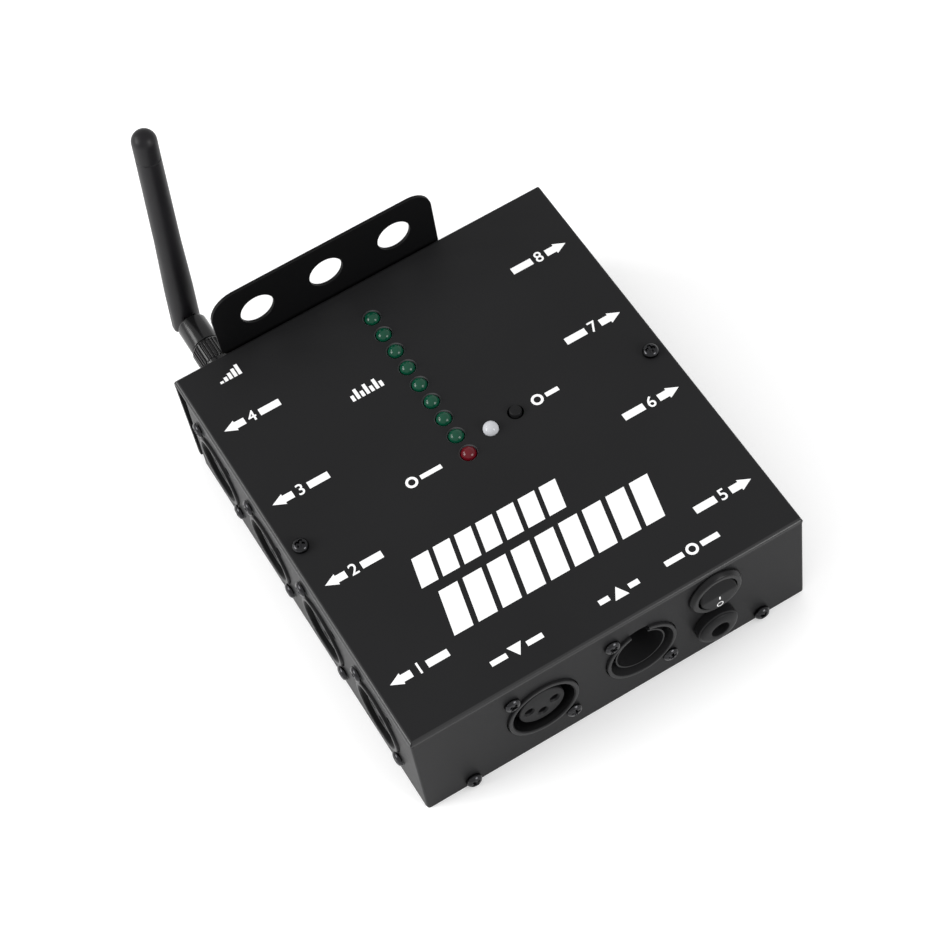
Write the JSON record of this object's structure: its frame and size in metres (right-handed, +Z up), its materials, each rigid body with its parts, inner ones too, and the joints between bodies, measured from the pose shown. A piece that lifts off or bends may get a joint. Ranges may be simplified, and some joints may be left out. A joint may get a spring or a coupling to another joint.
{
  "type": "dmx splitter",
  "caption": "Folded steel case with three-pin round sockets on its front and sides, lamps on the lid, rocker switch, power inlet, hanging bracket and jointed antenna.",
  "frame": {"origin": "centre of the base plate on its underside", "axes": "+Z up out of the lid, -Y out of the front wall, +X to the right seen from the front; the antenna stands behind the rear wall"},
  "size_m": [0.1394, 0.1961, 0.1174],
  "materials": {
    "black_paint": "satin powder coat",
    "bracket_paint": "matt powder coat",
    "black_plastic": "moulded",
    "gloss_plastic": "polished",
    "rubber": "smooth",
    "dark_zinc": "black zinc",
    "steel": "bright zinc",
    "gold": "gold plated",
    "laminate": "solder mask",
    "green_lens": "tinted lens",
    "red_lens": "tinted lens",
    "clear_lens": "water clear lens"
  },
  "bodies": {
    "case": {"top_cover": "black_paint", "base_plate": "black_paint", "hanging_bracket": "bracket_paint", "front_left_screw": "dark_zinc", "front_right_screw": "dark_zinc", "rear_left_screw": "dark_zinc", "rear_right_screw": "dark_zinc", "bracket_left_screw": "dark_zinc", "bracket_right_screw": "dark_zinc", "lid_left_screw": "dark_zinc", "base_left_screw": "dark_zinc", "left_pillar": "steel", "lid_right_screw": "dark_zinc", "base_right_screw": "dark_zinc", "right_pillar": "steel", "thru_shell": "black_paint", "thru_insert": "black_plastic", "out_1_shell": "black_paint", "out_1_insert": "black_plastic", "out_2_shell": "black_paint", "out_2_insert": "black_plastic", "out_3_shell": "black_paint", "out_3_insert": "black_plastic", "out_4_shell": "black_paint", "out_4_insert": "black_plastic", "out_5_shell": "black_paint", "out_5_insert": "black_plastic", "out_6_shell": "black_paint", "out_6_insert": "black_plastic", "out_7_shell": "black_paint", "out_7_insert": "black_plastic", "out_8_shell": "black_paint", "out_8_insert": "black_plastic", "in_shell": "black_paint", "in_insert": "black_plastic", "switch_housing": "gloss_plastic", "power_inlet": "gloss_plastic", "inlet_nut": "steel", "main_board": "laminate", "left_board": "laminate", "right_board": "laminate", "radio_module": "laminate", "power_lamp": "red_lens", "signal_lamp_1": "green_lens", "signal_lamp_2": "green_lens", "signal_lamp_3": "green_lens", "signal_lamp_4": "green_lens", "signal_lamp_5": "green_lens", "signal_lamp_6": "green_lens", "signal_lamp_7": "green_lens", "signal_lamp_8": "green_lens", "pairing_lamp": "clear_lens", "button_body": "black_plastic", "antenna_jack": "gold"},
    "rocker": {"rocker": "gloss_plastic"},
    "button": {"button_cap": "black_plastic"},
    "coupling_nut": {"coupling_nut": "gloss_plastic"},
    "antenna_swivel": {"swivel_base": "rubber", "hinge_pin": "steel"},
    "antenna_whip": {"whip": "rubber"}
  },
  "joints": [
    {"name": "rocker_tilt", "type": "hinge", "parent": "case", "child": "rocker", "pos_m": [0.0357, -0.07635, 0.0324], "axis": [1, 0, 0], "range_deg": [0, 28]},
    {"name": "button_press", "type": "slide", "parent": "case", "child": "button", "axis": [0, 0, -1], "range_m": [0, 0.0003], "stiffness_N_per_m": 800, "springref_m": -0.0005},
    {"name": "coupling_nut_turn", "type": "hinge", "parent": "case", "child": "coupling_nut", "pos_m": [-0.0509, 0.07615, 0.032], "axis": [0, 1, 0], "continuous": true},
    {"name": "antenna_swivel", "type": "hinge", "parent": "case", "child": "antenna_swivel", "pos_m": [-0.0509, 0.07615, 0.032], "axis": [0, 1, 0], "continuous": true},
    {"name": "antenna_tilt", "type": "hinge", "parent": "antenna_swivel", "child": "antenna_whip", "pos_m": [-0.0509, 0.10535, 0.032], "axis": [-0.9954, 0, 0.0958], "range_deg": [-4.3, 85.7]}
  ]
}
